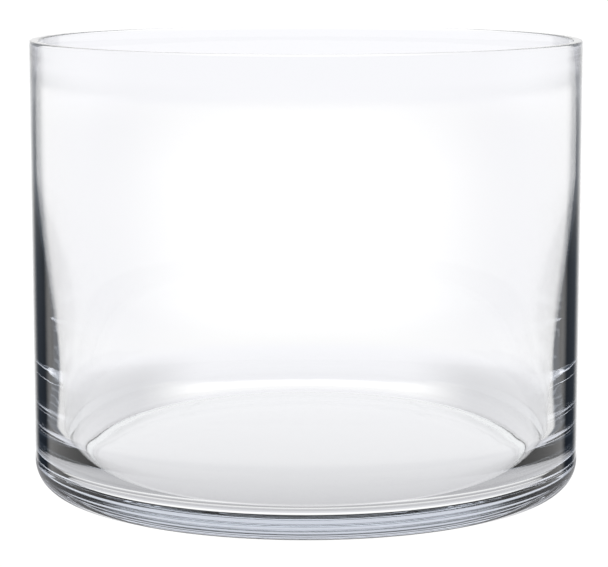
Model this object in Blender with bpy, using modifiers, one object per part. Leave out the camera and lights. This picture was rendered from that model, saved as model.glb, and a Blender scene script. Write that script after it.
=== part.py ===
"""Glass cylinder vase: one vessel of clear glass, open at the top.

Wall, rim and base are a single turned body. The outside is a straight cylinder.
The inside narrows towards the base, because the wall is thin above and heavy
below, as glass is when it is blown into a straight mould and cut off at the rim.

The origin is the centre of the standing face, and +Z points up out of the mouth.
Lengths are in metres.
"""

import math

import bpy

# Overall size
OUTER_DIAMETER = 0.254
HEIGHT = 0.208

# Wall thickness at the rim, at its thinnest and at the foot
RIM_WALL = 0.0044
THIN_WALL = 0.0024
FOOT_WALL = 0.0122
RIM_FADE = 0.016            # drop over which most of the rim's extra thickness is gone
FOOT_WALL_TOP = 0.008       # the wall keeps its foot thickness up to this height
THIN_WALL_START = 0.148     # and has thinned fully at this one

# Base
BASE_THICKNESS = 0.0098     # glass under the flat inside floor
FLOOR_CORNER_WIDTH = 0.012  # the round corner between floor and wall is this wide across the floor
FLOOR_CORNER_RISE = 0.026   # and climbs this far up the wall
BOTTOM_EDGE_RADIUS = 0.0135  # outside corner between the wall and the standing face

# Rim
RIM_EDGE_RADIUS = 0.0008    # polished corners either side of the flat rim

# Fineness of the turned shape
TURN_STEPS = 96
FLOOR_CORNER_STEPS = 8
BOTTOM_EDGE_STEPS = 6
RIM_CORNER_STEPS = 3
WALL_STEPS = 12
MERGE_DISTANCE = 0.00001

# Clear glass
GLASS_COLOUR = (0.88, 0.94, 0.97, 1.0)
GLASS_ROUGHNESS = 0.02
GLASS_IOR = 1.5

OBJECT_NAME = "glass_cylinder_vase"


def clear_scene():
    """Remove every object of the scene the script starts in."""
    for old in list(bpy.data.objects):
        bpy.data.objects.remove(old, do_unlink=True)


def smooth_step(share):
    """Ease from 0 to 1, level at both ends."""
    share = min(max(share, 0.0), 1.0)
    return share * share * (3.0 - 2.0 * share)


def wall_thickness(height):
    """Thickness of the wall at a height above the standing face."""
    rim_extra = (RIM_WALL - THIN_WALL) * math.exp((height - HEIGHT) / RIM_FADE)
    foot_share = smooth_step((THIN_WALL_START - height) / (THIN_WALL_START - FOOT_WALL_TOP))
    return THIN_WALL + rim_extra + (FOOT_WALL - THIN_WALL) * foot_share


def inner_radius(height):
    """Radius of the inside surface at a height above the standing face."""
    return OUTER_DIAMETER / 2.0 - wall_thickness(height)


def corner(centre, radius, start, end, steps):
    """Points of a round corner about a centre, from the start angle to the end angle in degrees."""
    points = []
    for step in range(steps + 1):
        angle = math.radians(start + (end - start) * step / steps)
        points.append((centre[0] + radius * math.cos(angle), centre[1] + radius * math.sin(angle)))
    return points


def inside_points():
    """From the middle of the floor out through its round corner and up the inner wall."""
    points = [(0.0, BASE_THICKNESS)]
    for step in range(FLOOR_CORNER_STEPS + 1):
        turn = math.radians(90.0 * step / FLOOR_CORNER_STEPS)
        height = BASE_THICKNESS + FLOOR_CORNER_RISE * (1.0 - math.cos(turn))
        points.append((inner_radius(height) - FLOOR_CORNER_WIDTH * (1.0 - math.sin(turn)), height))
    corner_top = BASE_THICKNESS + FLOOR_CORNER_RISE
    rim_corner_z = HEIGHT - RIM_EDGE_RADIUS
    for step in range(1, WALL_STEPS):
        height = corner_top + (rim_corner_z - corner_top) * step / WALL_STEPS
        points.append((inner_radius(height), height))
    return points


def rim_points():
    """Over the flat rim, from its inner polished corner to its outer one."""
    corner_z = HEIGHT - RIM_EDGE_RADIUS
    inner = (inner_radius(corner_z) + RIM_EDGE_RADIUS, corner_z)
    outer = (OUTER_DIAMETER / 2.0 - RIM_EDGE_RADIUS, corner_z)
    points = corner(inner, RIM_EDGE_RADIUS, 180.0, 90.0, RIM_CORNER_STEPS)
    points += corner(outer, RIM_EDGE_RADIUS, 90.0, 0.0, RIM_CORNER_STEPS)
    return points


def outside_points():
    """Down to the bottom corner and in over the flat underside to its middle."""
    centre = (OUTER_DIAMETER / 2.0 - BOTTOM_EDGE_RADIUS, BOTTOM_EDGE_RADIUS)
    points = corner(centre, BOTTOM_EDGE_RADIUS, 0.0, -90.0, BOTTOM_EDGE_STEPS)
    points.append((0.0, 0.0))
    return points


def glass_material():
    """Clear, faintly cool glass with a polished surface."""
    material = bpy.data.materials.new("clear_glass")
    material.use_nodes = True
    shader = material.node_tree.nodes["Principled BSDF"]
    shader.inputs["Base Color"].default_value = GLASS_COLOUR
    shader.inputs["Roughness"].default_value = GLASS_ROUGHNESS
    shader.inputs["Metallic"].default_value = 0.0
    shader.inputs["IOR"].default_value = GLASS_IOR
    shader.inputs["Transmission Weight"].default_value = 1.0
    return material


def make_vase_body(collection):
    """The whole vessel: its half section turned once round the axis."""
    section = inside_points() + rim_points() + outside_points()
    mesh = bpy.data.meshes.new("vase_body")
    vertices = [(radius, 0.0, height) for radius, height in section]
    edges = [(index, index + 1) for index in range(len(vertices) - 1)]
    mesh.from_pydata(vertices, edges, [])
    mesh.materials.append(glass_material())

    body = bpy.data.objects.new("vase_body", mesh)
    collection.objects.link(body)
    turn = body.modifiers.new("turn", "SCREW")
    turn.axis = "Z"
    turn.angle = math.tau
    turn.steps = TURN_STEPS
    turn.render_steps = TURN_STEPS
    turn.use_merge_vertices = True
    turn.merge_threshold = MERGE_DISTANCE
    turn.use_smooth_shade = True
    return body


def main():
    """Build the vase in a collection of its own."""
    clear_scene()
    collection = bpy.data.collections.new(OBJECT_NAME)
    bpy.context.scene.collection.children.link(collection)
    make_vase_body(collection)


main()
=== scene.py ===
"""Glass cylinder vase: the visible glass, its material and the studio around it.

Run as a script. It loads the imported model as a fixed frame, blows the fine glass
over it, and stands it on a pale table in a soft studio. Lengths are in metres.
"""

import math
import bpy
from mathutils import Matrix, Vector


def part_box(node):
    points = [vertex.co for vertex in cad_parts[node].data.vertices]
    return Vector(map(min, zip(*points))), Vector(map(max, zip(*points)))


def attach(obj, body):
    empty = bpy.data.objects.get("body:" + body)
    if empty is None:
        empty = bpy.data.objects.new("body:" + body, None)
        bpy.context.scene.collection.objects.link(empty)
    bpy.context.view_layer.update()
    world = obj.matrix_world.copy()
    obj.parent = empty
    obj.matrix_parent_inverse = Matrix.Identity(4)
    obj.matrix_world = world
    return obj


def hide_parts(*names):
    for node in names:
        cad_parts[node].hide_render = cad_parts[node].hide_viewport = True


bl_info = {
    "name": "Glass Cylinder Vase",
    "version": (1, 0, 0),
    "blender": (4, 5, 0),
    "location": "View3D > Sidebar > Vase",
    "description": "Builds a clear glass cylinder vase and a soft studio to see it in",
    "category": "Add Mesh",
}

from collections import namedtuple

import bmesh
import bpy
from bpy.props import FloatProperty, FloatVectorProperty, IntProperty, PointerProperty

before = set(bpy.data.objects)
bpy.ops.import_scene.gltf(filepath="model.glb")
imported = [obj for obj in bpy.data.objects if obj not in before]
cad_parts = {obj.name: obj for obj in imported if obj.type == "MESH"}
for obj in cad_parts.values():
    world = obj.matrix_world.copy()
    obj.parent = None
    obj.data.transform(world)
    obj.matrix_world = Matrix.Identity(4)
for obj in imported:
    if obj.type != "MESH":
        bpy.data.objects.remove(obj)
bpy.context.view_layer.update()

BODY_LOW, BODY_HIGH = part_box("vase_body")
OUTER_RADIUS = (BODY_HIGH[0] - BODY_LOW[0]) / 2.0
HEIGHT = BODY_HIGH[2] - BODY_LOW[2]

# Fineness of the glass's outline
FLOOR_STEPS = 12
CORNER_STEPS = 24
WALL_STEPS = 150
RIM_STEPS = 6
OUTSIDE_STEPS = 40
MERGE_DISTANCE = 0.000002

# Waves of the glass's surface: waves per metre, and how much closer they lie along each axis
BROAD_WAVES = 22.0
BROAD_CLOSENESS = (1.0, 1.0, 0.6)
FINE_WAVES = 95.0
FINE_CLOSENESS = (1.0, 1.0, 2.2)
WAVE_DETAIL = 1.0
WAVE_ROUGHNESS = 0.35

# The studio floor, just under the glass
STUDIO_FLOOR_GAP = 0.0001
STUDIO_FLOOR_SEGMENTS = 96
VASE_SHADOW_RADIUS = 0.1        # the floor is shaded from front to back inside this radius
VASE_SHADOW_EDGE = 0.106        # and outside this one it is shaded by distance only
# Painted reflection: the light and dark rings on the floor start this far from the axis
PAINTED_RINGS_FROM = 0.098

# Distances from the vase's axis over which one kind of floor gives way to the next
NEAR_FLOOR_END = (0.3, 0.34)
FLANK_OFF_MIDDLE = (0.055, 0.1)
FLANK_END = (0.15, 0.22)
DIM_SIDES_START = (0.16, 0.3)
DIM_SIDES_END = (2.0, 5.5)
DIM_SIDES_SLOPE = (0.02, 0.105)  # sideways over ahead
DIM_SIDES_NEAREST = 0.3

# Camera: its place is in outer radii of the vase, its tilt in degrees below level
CAMERA_BACK = 9.103
CAMERA_UP = 2.101
CAMERA_TILT = 8.51
CAMERA_LENS = 147.97
CAMERA_SENSOR = 36.0
CAMERA_SHIFT = -0.0033
MOST_BOUNCES = 32

# Floor and backdrop as they are seen past the glass
OPEN_LIGHT = 1.05

# Where what the glass mirrors changes, in degrees above level
TABLE_EDGE = (-9.5, -8.0)
HORIZON = (1.0, 4.0)
PALE_SIDES_START = (-36.0, -28.0)
PALE_SIDES_END = (0.0, 2.0)
STEEP = (38.0, 48.0)
FRONT_LINE = 41.0
FRONT_LINE_REACH = 8.0

# The same in degrees to either side of straight behind, then in half angles of the light strip
PALE_SIDES_EDGE = 5.0
DARK_BAND_END = (38.0, 46.0)
PALE_BAND_END = (75.0, 110.0)
LIGHT_STRIP_EDGE = (0.9, 1.25)
OUTER_LIGHT_STRIP_EDGE = (1.5, 3.5)

# Unevenness of the thin strips of light, in waves per radian
STRIP_DRIFT_WAVES = 14.0

# Light that the glass mirrors from a dark room, by degrees above level
DARK_ROOM = (
    (-90.0, (0.05, 0.06, 0.08)),
    (-45.0, (0.08, 0.095, 0.12)),
    (-28.0, (0.11, 0.13, 0.165)),
    (-18.0, (0.05, 0.062, 0.08)),
    (-12.5, (0.022, 0.03, 0.042)),
    (-10.0, (0.025, 0.035, 0.05)),
    (-8.0, (0.05, 0.062, 0.08)),
    (-3.0, (0.09, 0.105, 0.13)),
    (2.0, (0.14, 0.16, 0.19)),
)
DARK_ROOM_TOP = 5.0
LOW_ROOM = (
    (-90.0, (0.05, 0.065, 0.09)),
    (-12.0, (0.05, 0.065, 0.09)),
    (-8.0, (0.12, 0.14, 0.17)),
)
LOW_ROOM_TOP = -4.0


# ---------------------------------------------------------------- settings


class VaseSizes(bpy.types.PropertyGroup):
    """Sizes of the blown glass that its outline leaves open."""

    rim_wall: FloatProperty(
        name="Rim wall", description="Thickness of the glass at the rim",
        default=0.0044, min=0.001, unit="LENGTH")
    thin_wall: FloatProperty(
        name="Thin wall", description="Thickness of the wall where it is thinnest",
        default=0.0024, min=0.001, unit="LENGTH")
    foot_wall: FloatProperty(
        name="Foot wall", description="Thickness of the wall just above the base",
        default=0.0122, min=0.002, unit="LENGTH")
    rim_fade: FloatProperty(
        name="Rim fade", description="Drop over which most of the rim's extra thickness is gone",
        default=0.016, min=0.001, unit="LENGTH")
    foot_wall_top: FloatProperty(
        name="Foot wall top", description="Height up to which the wall keeps its foot thickness",
        default=0.008, min=0.0, unit="LENGTH")
    thin_wall_start: FloatProperty(
        name="Thin wall start", description="Height at which the wall has thinned fully",
        default=0.148, min=0.01, unit="LENGTH")
    base_thickness: FloatProperty(
        name="Base thickness", description="Glass under the flat inside floor",
        default=0.0098, min=0.002, unit="LENGTH")
    floor_corner_width: FloatProperty(
        name="Floor corner width", description="Width of the round corner between floor and wall",
        default=0.012, min=0.001, unit="LENGTH")
    floor_corner_rise: FloatProperty(
        name="Floor corner rise", description="How far that corner climbs up the wall",
        default=0.026, min=0.001, unit="LENGTH")
    bottom_edge: FloatProperty(
        name="Bottom edge", description="Radius of the outside corner above the flat underside",
        default=0.0135, min=0.001, unit="LENGTH")
    rim_edge: FloatProperty(
        name="Rim edge", description="Radius of the polished corners of the rim",
        default=0.0008, min=0.0001, unit="LENGTH")
    turn_steps: IntProperty(
        name="Turn steps", description="Facets round the turned glass", default=320, min=32)


class GlassLook(bpy.types.PropertyGroup):
    """The glass itself."""

    colour: FloatVectorProperty(
        name="Glass colour", description="Colour that thick glass lets through",
        default=(0.79, 0.84, 0.88), size=3, min=0.0, max=1.0, subtype="COLOR")
    depth_of_colour: FloatProperty(
        name="Depth of colour", description="How strongly a metre of glass is coloured",
        default=3.0, min=0.0)
    broad_waves: FloatProperty(
        name="Broad waves", description="Depth of the slow waves in the surface",
        default=0.00006, min=0.0, precision=6, unit="LENGTH")
    fine_waves: FloatProperty(
        name="Fine waves", description="Depth of the small waves in the surface",
        default=0.000006, min=0.0, precision=6, unit="LENGTH")
    bend: FloatProperty(
        name="Refractive index", description="How strongly the glass bends light",
        default=1.5, min=1.0, max=2.5)


class StudioLook(bpy.types.PropertyGroup):
    """The table, the light round it and the camera."""

    floor_radius: FloatProperty(
        name="Floor radius", description="How far the floor reaches",
        default=6.0, min=0.5, unit="LENGTH")
    backdrop_light: FloatProperty(
        name="Backdrop light", description="Brightness of the light behind the vase",
        default=0.985, min=0.0)
    floor_middle: FloatProperty(
        name="Middle floor light", description="Brightness of the floor a step behind the vase",
        default=1.13, min=0.0)
    floor_near: FloatProperty(
        name="Near floor light", description="Brightness of the floor beside the vase",
        default=0.99, min=0.0)
    floor_foot: FloatProperty(
        name="Floor light under the foot", description="Brightness of the floor under the round edge",
        default=0.92, min=0.0)
    # Painted light: a bright ring on the floor close round the foot.
    floor_rim: FloatProperty(
        name="Floor light round the foot", description="Brightness of the floor close round the foot",
        default=1.15, min=0.0)
    # Painted shadow under the vase, seen through the glass: the floor there is darker under the front
    # than under the back.
    floor_under_front: FloatProperty(
        name="Front under the vase", description="Brightness of the floor under the glass's front",
        default=0.61, min=0.0)
    floor_under: FloatProperty(
        name="Floor under the vase", description="Brightness of the floor under the glass's middle",
        default=0.82, min=0.0)
    floor_under_back: FloatProperty(
        name="Back under the vase", description="Brightness of the floor under the glass's back",
        default=0.97, min=0.0)
    table_reach: FloatProperty(
        name="Bright table reach", description="How far the glass mirrors the bright table",
        default=0.15, min=0.0, unit="LENGTH")
    surround: FloatProperty(
        name="Surround", description="Brightness of the room that the outside of the glass mirrors",
        default=0.45, min=0.0)
    inner_light: FloatProperty(
        name="Inner light", description="Brightness that the inside of the vase mirrors",
        default=0.95, min=0.0)
    base_light: FloatVectorProperty(
        name="Base light", description="Light that fills the heavy base",
        default=(0.744, 0.757, 0.817), size=3, min=0.0, subtype="COLOR")
    pale_to: FloatProperty(
        name="Base light up to",
        description="Angle off the middle up to which the base is filled with light",
        default=math.radians(44.0), subtype="ANGLE")
    dark_from: FloatProperty(
        name="Base dark from", description="Angle off the middle from which the base mirrors the dark",
        default=math.radians(60.0), subtype="ANGLE")
    # Painted shade on the floor close beside the glass.
    flank_shade: FloatProperty(
        name="Flanks", description="Brightness of the floor close beside the glass",
        default=0.72, min=0.0)
    # Painted shade on the far floor out to both sides of the vase.
    side_shade: FloatProperty(
        name="Sides", description="Brightness of the far floor out to the sides",
        default=0.94, min=0.0)
    side_shade_from: FloatProperty(
        name="Sides from", description="Distance in front of the vase from which the sides spread",
        default=1.156, unit="LENGTH")
    band_end: FloatProperty(
        name="Band end", description="Angle from which a single mirroring sees pale surroundings",
        default=math.radians(34.0), subtype="ANGLE")
    beside_band: FloatProperty(
        name="Beside the band", description="Brightness of the surroundings beside the dark bands",
        default=0.95, min=0.0)
    base_glow: FloatVectorProperty(
        name="Base glow", description="Light met by the rays mirrored most often in the base",
        default=(1.19, 1.21, 1.31), subtype="COLOR", size=3, min=0.0, soft_max=2.0)
    many_mirrors: FloatProperty(
        name="Many mirrorings", description="Count from which light counts as mirrored most often",
        default=5.5, min=0.0)
    window_half_angle: FloatProperty(
        name="Light strip half angle", description="Half the angle that the light strip behind fills",
        default=math.radians(8.0), min=0.0, subtype="ANGLE")
    shade: FloatVectorProperty(
        name="Shade", description="Light that the sides of the heavy base mirror",
        default=(0.012, 0.016, 0.022), size=3, min=0.0, subtype="COLOR")
    window_light: FloatProperty(
        name="Light strip", description="Brightness of the upright light strip behind the vase",
        default=1.12, min=0.0)
    low_window: FloatVectorProperty(
        name="Low light strip", description="Light of the strip behind, below the table's edge",
        default=(0.28, 0.305, 0.34), size=3, min=0.0, subtype="COLOR")
    strip_light: FloatVectorProperty(
        name="Thin strips", description="Light of the thin slanting strips in the dark room",
        default=(0.26, 0.29, 0.34), size=3, min=0.0, subtype="COLOR")
    strip_pitch: FloatProperty(
        name="Strip pitch", description="Angle from one thin strip to the next",
        default=math.radians(0.5), min=0.001, subtype="ANGLE")
    strip_slant: FloatProperty(
        name="Strip slant", description="How steeply the thin strips slant", default=0.012)
    strip_edge: FloatProperty(
        name="Strip edge", description="How narrow the thin strips are, up to 1", default=0.45)
    strip_drift: FloatProperty(
        name="Strip drift", description="How unevenly the thin strips are spaced", default=5.0)
    mirror_limit: IntProperty(
        name="Mirror limit", description="Reflections after which light counts as lost",
        default=9, min=1)


# ---------------------------------------------------------------- the glass


def smooth_step(share):
    """Ease from 0 to 1, level at both ends."""
    share = min(max(share, 0.0), 1.0)
    return share * share * (3.0 - 2.0 * share)


def wall_thickness(sizes, height):
    """Thickness of the wall at a height above the table."""
    rim_extra = (sizes.rim_wall - sizes.thin_wall) * math.exp((height - HEIGHT) / sizes.rim_fade)
    foot_share = smooth_step(
        (sizes.thin_wall_start - height) / (sizes.thin_wall_start - sizes.foot_wall_top))
    return sizes.thin_wall + rim_extra + (sizes.foot_wall - sizes.thin_wall) * foot_share


def corner(centre, radius, start, end, steps):
    """Points of a round corner about a centre, from the start angle to the end angle in degrees."""
    points = []
    for step in range(steps + 1):
        angle = math.radians(start + (end - start) * step / steps)
        points.append((centre[0] + radius * math.cos(angle), centre[1] + radius * math.sin(angle)))
    return points


def straight(start, end, steps):
    """Points between two ends, without the ends."""
    run, climb = end[0] - start[0], end[1] - start[1]
    return [(start[0] + run * step / steps, start[1] + climb * step / steps) for step in range(1, steps)]


def inside_outline(sizes):
    """Outline of the inside, from the floor's middle through its round corner and up the wall."""
    floor, width, rise = sizes.base_thickness, sizes.floor_corner_width, sizes.floor_corner_rise
    floor_r = OUTER_RADIUS - wall_thickness(sizes, floor) - width
    points = [(0.0, floor)] + straight((0.0, floor), (floor_r, floor), FLOOR_STEPS)
    for step in range(CORNER_STEPS + 1):
        turn = math.radians(90.0 * step / CORNER_STEPS)
        height = floor + rise * (1.0 - math.cos(turn))
        wall_r = OUTER_RADIUS - wall_thickness(sizes, height)
        points.append((wall_r - width * (1.0 - math.sin(turn)), height))
    top = HEIGHT - sizes.rim_edge
    for step in range(1, WALL_STEPS):
        height = floor + rise + (top - floor - rise) * step / WALL_STEPS
        points.append((OUTER_RADIUS - wall_thickness(sizes, height), height))
    return points


def half_section(sizes):
    """Outline of the glass from the floor's middle, over the rim, to the underside's middle."""
    rim = sizes.rim_edge
    rim_corner_z = HEIGHT - rim
    rim_inner_r = OUTER_RADIUS - wall_thickness(sizes, rim_corner_z) + rim
    edge = sizes.bottom_edge
    underside_r = OUTER_RADIUS - edge

    points = inside_outline(sizes)
    points += corner((rim_inner_r, rim_corner_z), rim, 180.0, 90.0, RIM_STEPS)
    points += corner((OUTER_RADIUS - rim, rim_corner_z), rim, 90.0, 0.0, RIM_STEPS)
    points += straight((OUTER_RADIUS, rim_corner_z), (OUTER_RADIUS, edge), OUTSIDE_STEPS)
    points += corner((underside_r, edge), edge, 0.0, -90.0, CORNER_STEPS)
    points += straight((underside_r, 0.0), (0.0, 0.0), FLOOR_STEPS)
    points.append((0.0, 0.0))
    return points


def add_waves(group, place, depth, waves_per_metre, closeness, normal):
    """Bump a surface with slow waves, on top of another bump if there is one."""
    fit = group.nodes.new("ShaderNodeMapping")
    fit.inputs["Scale"].default_value = closeness
    group.links.new(place, fit.inputs["Vector"])
    waves = group.nodes.new("ShaderNodeTexNoise")
    waves.inputs["Scale"].default_value = waves_per_metre
    waves.inputs["Detail"].default_value = WAVE_DETAIL
    waves.inputs["Roughness"].default_value = WAVE_ROUGHNESS
    group.links.new(fit.outputs["Vector"], waves.inputs["Vector"])
    bump = group.nodes.new("ShaderNodeBump")
    group.links.new(depth, bump.inputs["Distance"])
    group.links.new(waves.outputs["Fac"], bump.inputs["Height"])
    if normal:
        group.links.new(normal, bump.inputs["Normal"])
    return bump.outputs["Normal"]


def hand_made_surface():
    """Node group: the faint, slow waves that blowing leaves in a polished surface."""
    group = bpy.data.node_groups.new("hand_made_surface", "ShaderNodeTree")
    for name in ("Broad", "Fine"):
        group.interface.new_socket(name, in_out="INPUT", socket_type="NodeSocketFloat")
    group.interface.new_socket("Normal", in_out="OUTPUT", socket_type="NodeSocketVector")
    depths = group.nodes.new("NodeGroupInput").outputs
    place = group.nodes.new("ShaderNodeTexCoord").outputs["Object"]
    normal = add_waves(group, place, depths["Broad"], BROAD_WAVES, BROAD_CLOSENESS, None)
    normal = add_waves(group, place, depths["Fine"], FINE_WAVES, FINE_CLOSENESS, normal)
    output = group.nodes.new("NodeGroupOutput")
    group.links.new(normal, output.inputs["Normal"])
    return group


def glass_material(look):
    """Clear glass, faintly cool where it is thick, with a polished, faintly wavy surface."""
    material = bpy.data.materials.new("clear_glass")
    material.use_nodes = True
    nodes = material.node_tree.nodes
    links = material.node_tree.links
    shader = nodes["Principled BSDF"]
    output = nodes["Material Output"]
    shader.inputs["Base Color"].default_value = (1.0, 1.0, 1.0, 1.0)
    shader.inputs["Metallic"].default_value = 0.0
    shader.inputs["Roughness"].default_value = 0.0
    shader.inputs["IOR"].default_value = look.bend
    shader.inputs["Transmission Weight"].default_value = 1.0

    surface = nodes.new("ShaderNodeGroup")
    surface.node_tree = hand_made_surface()
    surface.inputs["Broad"].default_value = look.broad_waves
    surface.inputs["Fine"].default_value = look.fine_waves
    links.new(surface.outputs["Normal"], shader.inputs["Normal"])

    tint = nodes.new("ShaderNodeVolumeAbsorption")
    tint.inputs["Color"].default_value = (*look.colour, 1.0)
    tint.inputs["Density"].default_value = look.depth_of_colour
    links.new(tint.outputs["Volume"], output.inputs["Volume"])
    return material


class VASE_OT_blow_body(bpy.types.Operator):
    """Blow the vase's body: one turned vessel of clear glass."""

    bl_idname = "vase.blow_body"
    bl_label = "Blow Body"

    def execute(self, context):
        sizes = context.scene.vase_sizes
        turned = bmesh.new()
        section = [turned.verts.new((radius, 0.0, height)) for radius, height in half_section(sizes)]
        edges = [turned.edges.new(pair) for pair in zip(section, section[1:])]
        bmesh.ops.spin(
            turned, geom=section + edges, cent=(0.0, 0.0, 0.0), axis=(0.0, 0.0, 1.0),
            angle=math.tau, steps=sizes.turn_steps, use_merge=True)
        bmesh.ops.remove_doubles(turned, verts=turned.verts, dist=MERGE_DISTANCE)
        bmesh.ops.recalc_face_normals(turned, faces=turned.faces)
        if not all(edge.is_manifold for edge in turned.edges):
            raise RuntimeError("the turned glass isn't closed")
        for face in turned.faces:
            face.smooth = True
        mesh = bpy.data.meshes.new("vase_glass")
        turned.to_mesh(mesh)
        turned.free()
        mesh.materials.append(glass_material(context.scene.vase_glass))
        glass = bpy.data.objects.new("vase_glass", mesh)
        context.scene.collection.objects.link(glass)
        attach(glass, "root")
        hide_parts("vase_body")
        return {"FINISHED"}


# ---------------------------------------------------------------- the studio

# Sockets of a Mix node while it mixes colours
MIX_SHARE, MIX_FIRST, MIX_SECOND = 0, 6, 7
MIX_RESULT = 2


def math_node(tree, operation, *values):
    """Add a Math node; each value is a number or a socket."""
    node = tree.nodes.new("ShaderNodeMath")
    node.operation = operation
    for socket, value in zip(node.inputs, values):
        if isinstance(value, (int, float)):
            socket.default_value = value
        else:
            tree.links.new(value, socket)
    return node.outputs["Value"]


def eased(tree, value, low, high):
    """Ease a value from 0 at low to 1 at high."""
    node = tree.nodes.new("ShaderNodeMapRange")
    node.interpolation_type = "SMOOTHSTEP"
    tree.links.new(value, node.inputs["Value"])
    node.inputs["From Min"].default_value = low
    node.inputs["From Max"].default_value = high
    return node.outputs["Result"]


def mixed(tree, share, first, second):
    """Mix two colours; each is a triple or a socket."""
    node = tree.nodes.new("ShaderNodeMix")
    node.data_type = "RGBA"
    node.clamp_factor = True
    tree.links.new(share, node.inputs[MIX_SHARE])
    for socket, value in ((node.inputs[MIX_FIRST], first), (node.inputs[MIX_SECOND], second)):
        if isinstance(value, bpy.types.NodeSocket):
            tree.links.new(value, socket)
        else:
            socket.default_value = (*value, 1.0)
    return node.outputs[MIX_RESULT]


def grey(level):
    """A neutral colour."""
    return (level, level, level)


def cool(level):
    """A faintly lavender grey, as a white table is in open shade."""
    return (level * 0.99, level * 0.992, level * 1.025)


def ramp(tree, value, stops):
    """A colour that changes with a value; stops are (value, colour) pairs."""
    low, high = stops[0][0], stops[-1][0]
    share = tree.nodes.new("ShaderNodeMapRange")
    tree.links.new(value, share.inputs["Value"])
    share.inputs["From Min"].default_value = low
    share.inputs["From Max"].default_value = high
    node = tree.nodes.new("ShaderNodeValToRGB")
    tree.links.new(share.outputs["Result"], node.inputs["Fac"])
    elements = node.color_ramp.elements
    while len(elements) < len(stops):
        elements.new(0.5)
    for element, (at, colour) in zip(elements, stops):
        element.position = (at - low) / (high - low)
        element.color = (*colour, 1.0)
    return node.outputs["Color"]


def by_degrees(stops):
    """Turn the degrees of a ramp's stops into radians."""
    return [(math.radians(at), colour) for at, colour in stops]


def times(tree, first, second):
    """Multiply two shares."""
    return math_node(tree, "MULTIPLY", first, second)


def rest_of(tree, share):
    """What a share leaves of 1."""
    return math_node(tree, "SUBTRACT", 1.0, share)


def eased_degrees(tree, angle, low, high):
    """Ease an angle from 0 at low to 1 at high, both in degrees."""
    return eased(tree, angle, math.radians(low), math.radians(high))


def split_place(tree, output):
    """The three parts of a texture coordinate."""
    place = tree.nodes.new("ShaderNodeTexCoord").outputs[output]
    split = tree.nodes.new("ShaderNodeSeparateXYZ")
    tree.links.new(place, split.inputs["Vector"])
    return split.outputs


LightWays = namedtuple("LightWays", (
    "direct",       # never met the glass
    "mirrored",     # mirrored at all
    "outside",      # mirrored by the outside only
    "once",         # mirrored once inside the wall
    "thrice",       # mirrored three times inside the glass
    "often",        # mirrored more than once inside the glass
    "most",         # mirrored most often
    "through",      # went straight through one stretch of glass
))


def light_ways(tree, look):
    """Sort the light by the way it took through the glass, as shares of 0 or 1."""
    path = tree.nodes.new("ShaderNodeLightPath").outputs
    mirrors, crossings = path["Glossy Depth"], path["Transmission Depth"]
    mirrored = math_node(tree, "GREATER_THAN", mirrors, 0.5)
    crossed_twice = math_node(tree, "COMPARE", crossings, 2.0, 0.5)
    trapped = times(tree, mirrored, crossed_twice)
    return LightWays(
        direct=path["Is Camera Ray"],
        mirrored=mirrored,
        outside=times(tree, mirrored, math_node(tree, "LESS_THAN", crossings, 0.5)),
        once=times(tree, trapped, math_node(tree, "COMPARE", mirrors, 1.0, 0.5)),
        thrice=times(tree, trapped, math_node(tree, "COMPARE", mirrors, 3.0, 0.5)),
        often=times(tree, trapped, math_node(tree, "GREATER_THAN", mirrors, 1.5)),
        most=math_node(tree, "GREATER_THAN", mirrors, look.many_mirrors),
        through=times(tree, crossed_twice, rest_of(tree, mirrored)))


def near_floor(tree, look, x, reach):
    """Light of the floor close round the foot: a painted bright ring behind, painted shade on the flanks
    beside.
    """
    ring = ramp(tree, reach, [
        (VASE_SHADOW_RADIUS, cool(look.floor_foot)), (0.126, cool(0.98)), (0.138, grey(1.03)),
        (0.1425, grey(look.floor_rim)), (0.1485, grey(look.floor_rim)), (0.151, cool(0.93)),
        (0.164, cool(0.955)), (0.206, cool(look.floor_near)), (0.242, grey(1.02)),
        (0.27, grey(1.05)), (0.32, grey(look.floor_middle))])
    # Painted shade on the flanks, close beside the foot
    beside = eased(tree, math_node(tree, "ABSOLUTE", x), *FLANK_OFF_MIDDLE)
    close = rest_of(tree, eased(tree, reach, *FLANK_END))
    return mixed(tree, times(tree, beside, close), ring, cool(look.flank_shade))


def far_floor(tree, look, reach):
    """Light of the floor from a step behind the vase to its far edge."""
    return ramp(tree, reach, [
        (0.32, grey(look.floor_middle)), (1.3, grey(look.floor_middle)), (2.5, grey(1.06)),
        (4.0, cool(1.01)), (look.floor_radius, cool(look.backdrop_light))])


def dimmed_sides(tree, look, x, y, reach, floor):
    """Paint shade on the floor out to both sides of the vase."""
    ahead = math_node(tree, "ADD", y, look.side_shade_from)
    ahead = math_node(tree, "MAXIMUM", ahead, DIM_SIDES_NEAREST)
    outward = math_node(tree, "DIVIDE", math_node(tree, "ABSOLUTE", x), ahead)
    spread = times(
        tree, eased(tree, reach, *DIM_SIDES_START), rest_of(tree, eased(tree, reach, *DIM_SIDES_END)))
    share = times(tree, eased(tree, outward, *DIM_SIDES_SLOPE), spread)
    return mixed(tree, share, floor, cool(look.side_shade))


def painted_foot_rings(tree, reach):
    """Painted reflection: light and dark rings on the floor close under the round foot, which the foot
    mirrors.
    """
    return ramp(tree, reach, [
        (PAINTED_RINGS_FROM, grey(1.08)), (0.1035, grey(1.08)), (0.1048, cool(0.76)), (0.1072, cool(0.72)),
        (0.108, cool(0.58)), (0.1108, cool(0.6)), (0.1113, grey(0.9)), (0.1124, grey(0.9)),
        (0.113, cool(0.45)), (0.1152, cool(0.6)), (0.1158, grey(0.95)), (0.117, grey(0.95)),
        (0.1178, cool(0.5))])


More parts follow.
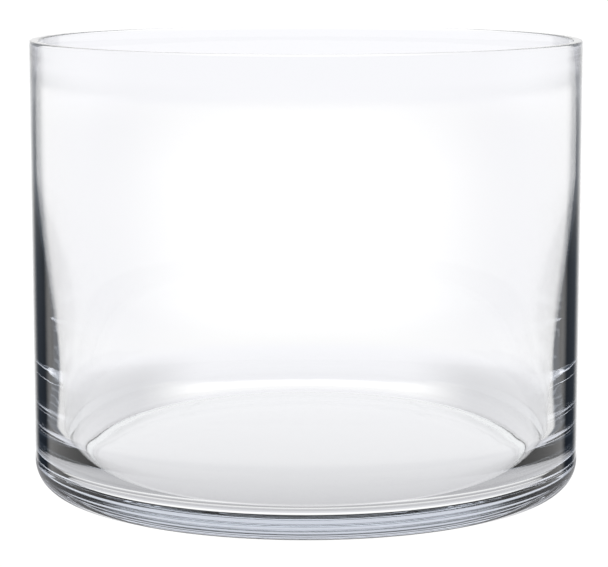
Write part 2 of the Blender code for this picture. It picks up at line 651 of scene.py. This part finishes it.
def floor_colour(tree, look, ways, x, y, reach):
    """Light of the floor, by place and by the way it takes through the glass."""
    # Painted shadow under the vase, darkest under its front
    under = ramp(tree, y, [
        (-VASE_SHADOW_RADIUS, cool(look.floor_under_front)),
        (0.0, cool(look.floor_under)),
        (VASE_SHADOW_RADIUS, cool(look.floor_under_back))])
    near, far = near_floor(tree, look, x, reach), far_floor(tree, look, reach)
    around = mixed(tree, eased(tree, reach, *NEAR_FLOOR_END), near, far)
    around = dimmed_sides(tree, look, x, y, reach, around)
    seen = mixed(tree, eased(tree, reach, VASE_SHADOW_RADIUS, VASE_SHADOW_EDGE), under, around)
    # Only light that the glass has mirrored meets the painted rings
    at_foot = times(tree, ways.mirrored, math_node(tree, "GREATER_THAN", reach, PAINTED_RINGS_FROM))
    seen = mixed(tree, at_foot, seen, painted_foot_rings(tree, reach))
    # Painted light: light trapped in the heavy base meets the base's light, not the floor
    trapped = mixed(tree, ways.most, look.base_light, look.base_glow)
    seen = mixed(tree, ways.often, seen, trapped)
    return mixed(tree, ways.direct, seen, grey(OPEN_LIGHT))


def floor_material(look):
    """Pale glowing floor with painted shade and light that only the glass shows; beyond the table the
    glass mirrors the room below instead.
    """
    material = bpy.data.materials.new("studio_floor")
    material.use_nodes = True
    tree = material.node_tree
    tree.nodes.clear()
    x, y, _ = split_place(tree, "Object")
    reach = math_node(tree, "SQRT", math_node(tree, "ADD", times(tree, x, x), times(tree, y, y)))
    ways = light_ways(tree, look)
    light = tree.nodes.new("ShaderNodeEmission")
    tree.links.new(floor_colour(tree, look, ways, x, y, reach), light.inputs["Color"])
    clear = tree.nodes.new("ShaderNodeBsdfTransparent")
    beyond = math_node(tree, "GREATER_THAN", reach, look.table_reach)
    mix = tree.nodes.new("ShaderNodeMixShader")
    tree.links.new(times(tree, ways.mirrored, beyond), mix.inputs[0])
    tree.links.new(light.outputs["Emission"], mix.inputs[1])
    tree.links.new(clear.outputs["BSDF"], mix.inputs[2])
    output = tree.nodes.new("ShaderNodeOutputMaterial")
    tree.links.new(mix.outputs["Shader"], output.inputs["Surface"])
    return material


def slanting_strips(tree, look, bearing, elevation):
    """Thin strips of light that slant across the dark room, as shares from 0 to 1."""
    drift = tree.nodes.new("ShaderNodeTexNoise")
    drift.noise_dimensions = "1D"
    tree.links.new(elevation, drift.inputs["W"])
    drift.inputs["Scale"].default_value = STRIP_DRIFT_WAVES
    drift.inputs["Detail"].default_value = 1.0
    climb = math_node(tree, "ADD", elevation, times(tree, bearing, look.strip_slant))
    phase = math_node(
        tree, "ADD", times(tree, climb, math.tau / look.strip_pitch),
        times(tree, drift.outputs["Fac"], look.strip_drift))
    return eased(tree, math_node(tree, "SINE", phase), look.strip_edge, 1.0)


def light_mirrored_once(tree, look, bearing, elevation, slatted, sunken):
    """What one mirroring in the wall shows: a light strip behind, dark aside, pale beyond."""
    half = look.window_half_angle
    window = mixed(tree, sunken, grey(look.window_light), look.low_window)
    window = mixed(tree, eased_degrees(tree, elevation, *HORIZON), window, look.base_light)
    edge = [half * share for share in LIGHT_STRIP_EDGE]
    behind = mixed(tree, eased(tree, bearing, *edge), window, slatted)
    shallow = times(
        tree, eased_degrees(tree, elevation, *PALE_SIDES_START),
        rest_of(tree, eased_degrees(tree, elevation, *PALE_SIDES_END)))
    pale_from = look.band_end
    beside = eased(tree, bearing, pale_from, pale_from + math.radians(PALE_SIDES_EDGE))
    return mixed(tree, times(tree, shallow, beside), behind, grey(look.beside_band))


def light_mirrored_often(tree, look, bearing, elevation, slatted, sinking, most):
    """What many mirrorings in the base show: pale light in the middle, dark to the sides."""
    steepness = math_node(tree, "ABSOLUTE", elevation)
    level = rest_of(tree, eased_degrees(tree, steepness, *STEEP))
    aside = eased(tree, bearing, look.pale_to, look.dark_from)
    hidden = times(tree, level, math_node(tree, "MAXIMUM", aside, sinking))
    pale = mixed(tree, most, look.base_light, look.base_glow)
    return mixed(tree, hidden, pale, mixed(tree, sinking, look.shade, slatted))


def light_mirrored_outside(tree, look, bearing, elevation):
    """What the outside of the glass mirrors: a light strip behind, dark bands, a pale room."""
    half = look.window_half_angle
    low_room = ramp(tree, elevation, by_degrees([*LOW_ROOM, (LOW_ROOM_TOP, grey(look.surround))]))
    past_band = eased_degrees(tree, bearing, *DARK_BAND_END)
    sides = mixed(tree, past_band, low_room, grey(look.beside_band))
    past_pale = eased_degrees(tree, bearing, *PALE_BAND_END)
    sides = mixed(tree, past_pale, sides, grey(look.surround))
    edge = [half * share for share in OUTER_LIGHT_STRIP_EDGE]
    return mixed(tree, eased(tree, bearing, *edge), grey(look.window_light), sides)


def studio_world(look):
    """Bright backdrop; the glass mirrors a dark room with thin strips of light in it."""
    world = bpy.data.worlds.new("studio")
    world.use_nodes = True
    tree = world.node_tree
    x, y, z = split_place(tree, "Generated")
    bearing = math_node(tree, "ABSOLUTE", math_node(tree, "ARCTAN2", x, y))
    elevation = math_node(tree, "ARCSINE", z)
    room = ramp(tree, elevation, by_degrees([*DARK_ROOM, (DARK_ROOM_TOP, look.base_light)]))
    sunken = rest_of(tree, eased_degrees(tree, elevation, *TABLE_EDGE))
    strips = slanting_strips(tree, look, bearing, elevation)
    slatted = mixed(tree, times(tree, strips, sunken), room, look.strip_light)
    rising = eased_degrees(tree, elevation, *HORIZON)
    sinking = rest_of(tree, rising)

    ways = light_ways(tree, look)
    outside = light_mirrored_outside(tree, look, bearing, elevation)
    once = light_mirrored_once(tree, look, bearing, elevation, slatted, sunken)
    often = light_mirrored_often(tree, look, bearing, elevation, slatted, sinking, ways.most)
    seen = mixed(tree, ways.mirrored, cool(look.backdrop_light), grey(look.inner_light))
    seen = mixed(tree, times(tree, ways.through, rising), seen, look.base_light)
    seen = mixed(tree, ways.outside, seen, outside)
    seen = mixed(tree, ways.once, seen, once)
    seen = mixed(tree, ways.often, seen, often)
    front_line = math_node(
        tree, "COMPARE", elevation, math.radians(FRONT_LINE), math.radians(FRONT_LINE_REACH))
    seen = mixed(tree, times(tree, ways.thrice, front_line), seen, look.shade)
    background = tree.nodes["Background"]
    tree.links.new(mixed(tree, ways.direct, seen, grey(OPEN_LIGHT)), background.inputs["Color"])
    return world


def add_floor(look, scene):
    """Lay the round floor just under the glass."""
    table = bmesh.new()
    bmesh.ops.create_circle(
        table, cap_ends=True, segments=STUDIO_FLOOR_SEGMENTS, radius=look.floor_radius)
    bmesh.ops.translate(table, verts=table.verts, vec=(0.0, 0.0, -STUDIO_FLOOR_GAP))
    mesh = bpy.data.meshes.new("studio_floor")
    table.to_mesh(mesh)
    table.free()
    mesh.materials.append(floor_material(look))
    floor = bpy.data.objects.new("studio_floor", mesh)
    scene.collection.objects.link(floor)


def add_camera(scene):
    """Set the camera in front of the vase, looking a little down on it."""
    camera_data = bpy.data.cameras.new("camera")
    camera_data.sensor_width = CAMERA_SENSOR
    camera_data.lens = CAMERA_LENS
    camera_data.shift_x = CAMERA_SHIFT
    camera = bpy.data.objects.new("camera", camera_data)
    camera.location = (0.0, -CAMERA_BACK * OUTER_RADIUS, CAMERA_UP * OUTER_RADIUS)
    camera.rotation_euler = (math.radians(90.0 - CAMERA_TILT), 0.0, 0.0)
    scene.collection.objects.link(camera)
    scene.camera = camera


class VASE_OT_set_stage(bpy.types.Operator):
    """Set the stage: the floor, the light and the camera."""

    bl_idname = "vase.set_stage"
    bl_label = "Set Stage"

    def execute(self, context):
        look = context.scene.vase_studio
        add_floor(look, context.scene)
        add_camera(context.scene)
        context.scene.world = studio_world(look)
        context.scene.view_settings.view_transform = "Standard"
        cycles = context.scene.cycles
        cycles.max_bounces = MOST_BOUNCES
        cycles.glossy_bounces = look.mirror_limit
        cycles.transmission_bounces = MOST_BOUNCES
        return {"FINISHED"}


class VASE_PT_panel(bpy.types.Panel):
    """The vase's steps and sizes, in the 3D view's sidebar."""

    bl_label = "Glass Cylinder Vase"
    bl_idname = "VASE_PT_panel"
    bl_space_type = "VIEW_3D"
    bl_region_type = "UI"
    bl_category = "Vase"

    def draw(self, context):
        for operator in OPERATORS:
            self.layout.operator(operator.bl_idname)
        for group in (context.scene.vase_sizes, context.scene.vase_glass, context.scene.vase_studio):
            box = self.layout.box()
            for name in group.__annotations__:
                box.prop(group, name)


OPERATORS = (VASE_OT_blow_body, VASE_OT_set_stage)
CLASSES = (VaseSizes, GlassLook, StudioLook, *OPERATORS, VASE_PT_panel)


def register():
    """Make the add-on's classes and settings known to Blender."""
    for new_class in CLASSES:
        bpy.utils.register_class(new_class)
    bpy.types.Scene.vase_sizes = PointerProperty(type=VaseSizes)
    bpy.types.Scene.vase_glass = PointerProperty(type=GlassLook)
    bpy.types.Scene.vase_studio = PointerProperty(type=StudioLook)


def unregister():
    """Take the settings and classes out again."""
    del bpy.types.Scene.vase_studio
    del bpy.types.Scene.vase_glass
    del bpy.types.Scene.vase_sizes
    for old_class in reversed(CLASSES):
        bpy.utils.unregister_class(old_class)


def main():
    """Build everything."""
    register()
    bpy.ops.vase.blow_body()
    bpy.ops.vase.set_stage()


if __name__ == "__main__":
    main()
